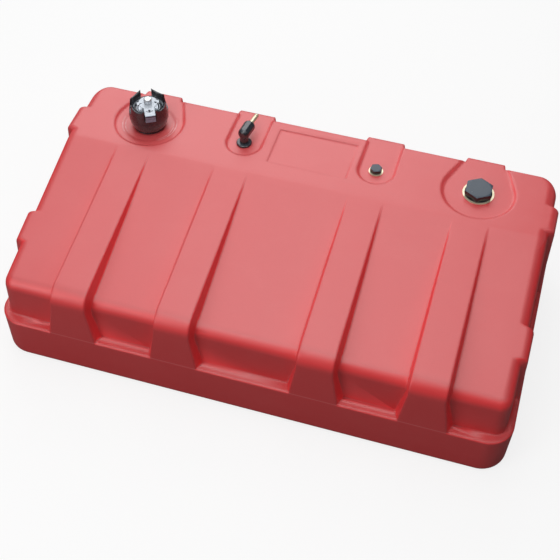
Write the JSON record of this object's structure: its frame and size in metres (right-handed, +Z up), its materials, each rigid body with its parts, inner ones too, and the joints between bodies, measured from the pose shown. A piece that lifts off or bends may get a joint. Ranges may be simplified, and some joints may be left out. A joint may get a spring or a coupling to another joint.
{
  "type": "outboard fuel tank",
  "caption": "Low ribbed boat fuel tank with a screw-on vented filler cap, a swivelling pick-up elbow with a hose barb, and hex-head port plugs.",
  "frame": {"origin": "centre of the underside, on the surface that the tank stands on", "axes": "+Z up, +X along the tank, +Y towards the rear edge where the fittings stand"},
  "size_m": [1.0076, 0.55, 0.3309],
  "materials": {
    "red_polyethylene": "satin, slightly grained moulding",
    "black_plastic": "satin",
    "plug_plastic": "satin",
    "grey_plastic": "satin",
    "seal_rubber": "matt",
    "bright_metal": "bright",
    "brass": "machined",
    "tube_aluminium": "drawn",
    "steel_gauze": "fine gauze"
  },
  "bodies": {
    "tank": {"tank_shell": "red_polyethylene", "filler_neck": "black_plastic", "pickup_bush": "brass", "pickup_flange": "black_plastic", "pickup_tube": "tube_aluminium", "tube_ferrule": "brass", "strainer": "steel_gauze", "small_bush": "brass", "large_bush": "brass"},
    "filler_seal": {"cap_gasket": "seal_rubber"},
    "filler_cap": {"cap_collar": "black_plastic", "cap_liner": "grey_plastic", "cap_dish": "bright_metal", "latch_plate": "bright_metal", "vent_seat": "black_plastic"},
    "vent_seal_ring": {"vent_seal": "seal_rubber"},
    "vent_screw": {"vent_knob": "bright_metal", "vent_stem": "brass"},
    "elbow": {"pickup_elbow": "black_plastic", "elbow_seal": "seal_rubber", "barb_nut": "brass", "hose_barb": "brass"},
    "small_port_washer": {"small_washer": "seal_rubber"},
    "small_port_plug": {"small_plug": "plug_plastic"},
    "large_port_washer": {"large_washer": "seal_rubber"},
    "large_port_plug": {"large_plug": "plug_plastic"}
  },
  "joints": [
    {"name": "cap_rise", "type": "slide", "parent": "tank", "child": "filler_seal", "axis": [0, 0, 1], "range_m": [0, 0.018]},
    {"name": "cap_turn", "type": "hinge", "parent": "filler_seal", "child": "filler_cap", "pos_m": [-0.341, 0.173, 0.267], "axis": [0, 0, 1], "range_deg": [0, 1080]},
    {"name": "vent_rise", "type": "slide", "parent": "filler_cap", "child": "vent_seal_ring", "axis": [0, 0, 1], "range_m": [0, 0.003]},
    {"name": "vent_turn", "type": "hinge", "parent": "vent_seal_ring", "child": "vent_screw", "pos_m": [-0.341, 0.173, 0.32], "axis": [0, 0, 1], "range_deg": [0, 720]},
    {"name": "elbow_swivel", "type": "hinge", "parent": "tank", "child": "elbow", "pos_m": [-0.137, 0.173, 0.27], "axis": [0, 0, 1], "continuous": true},
    {"name": "small_plug_rise", "type": "slide", "parent": "tank", "child": "small_port_washer", "axis": [0, 0, 1], "range_m": [0, 0.01269]},
    {"name": "small_plug_turn", "type": "hinge", "parent": "small_port_washer", "child": "small_port_plug", "pos_m": [0.137, 0.173, 0.266], "axis": [0, 0, 1], "range_deg": [0, 3240]},
    {"name": "large_plug_rise", "type": "slide", "parent": "tank", "child": "large_port_washer", "axis": [0, 0, 1], "range_m": [0, 0.01768]},
    {"name": "large_plug_turn", "type": "hinge", "parent": "large_port_washer", "child": "large_port_plug", "pos_m": [0.342, 0.173, 0.266], "axis": [0, 0, 1], "range_deg": [0, 2880]}
  ],
  "couplings": [
    {"joint": "cap_turn", "follows": "cap_rise", "rad_per_m": 1047.2},
    {"joint": "vent_turn", "follows": "vent_rise", "rad_per_m": 4188.7},
    {"joint": "small_plug_turn", "follows": "small_plug_rise", "rad_per_m": 4456.1},
    {"joint": "large_plug_turn", "follows": "large_plug_rise", "rad_per_m": 2843}
  ]
}
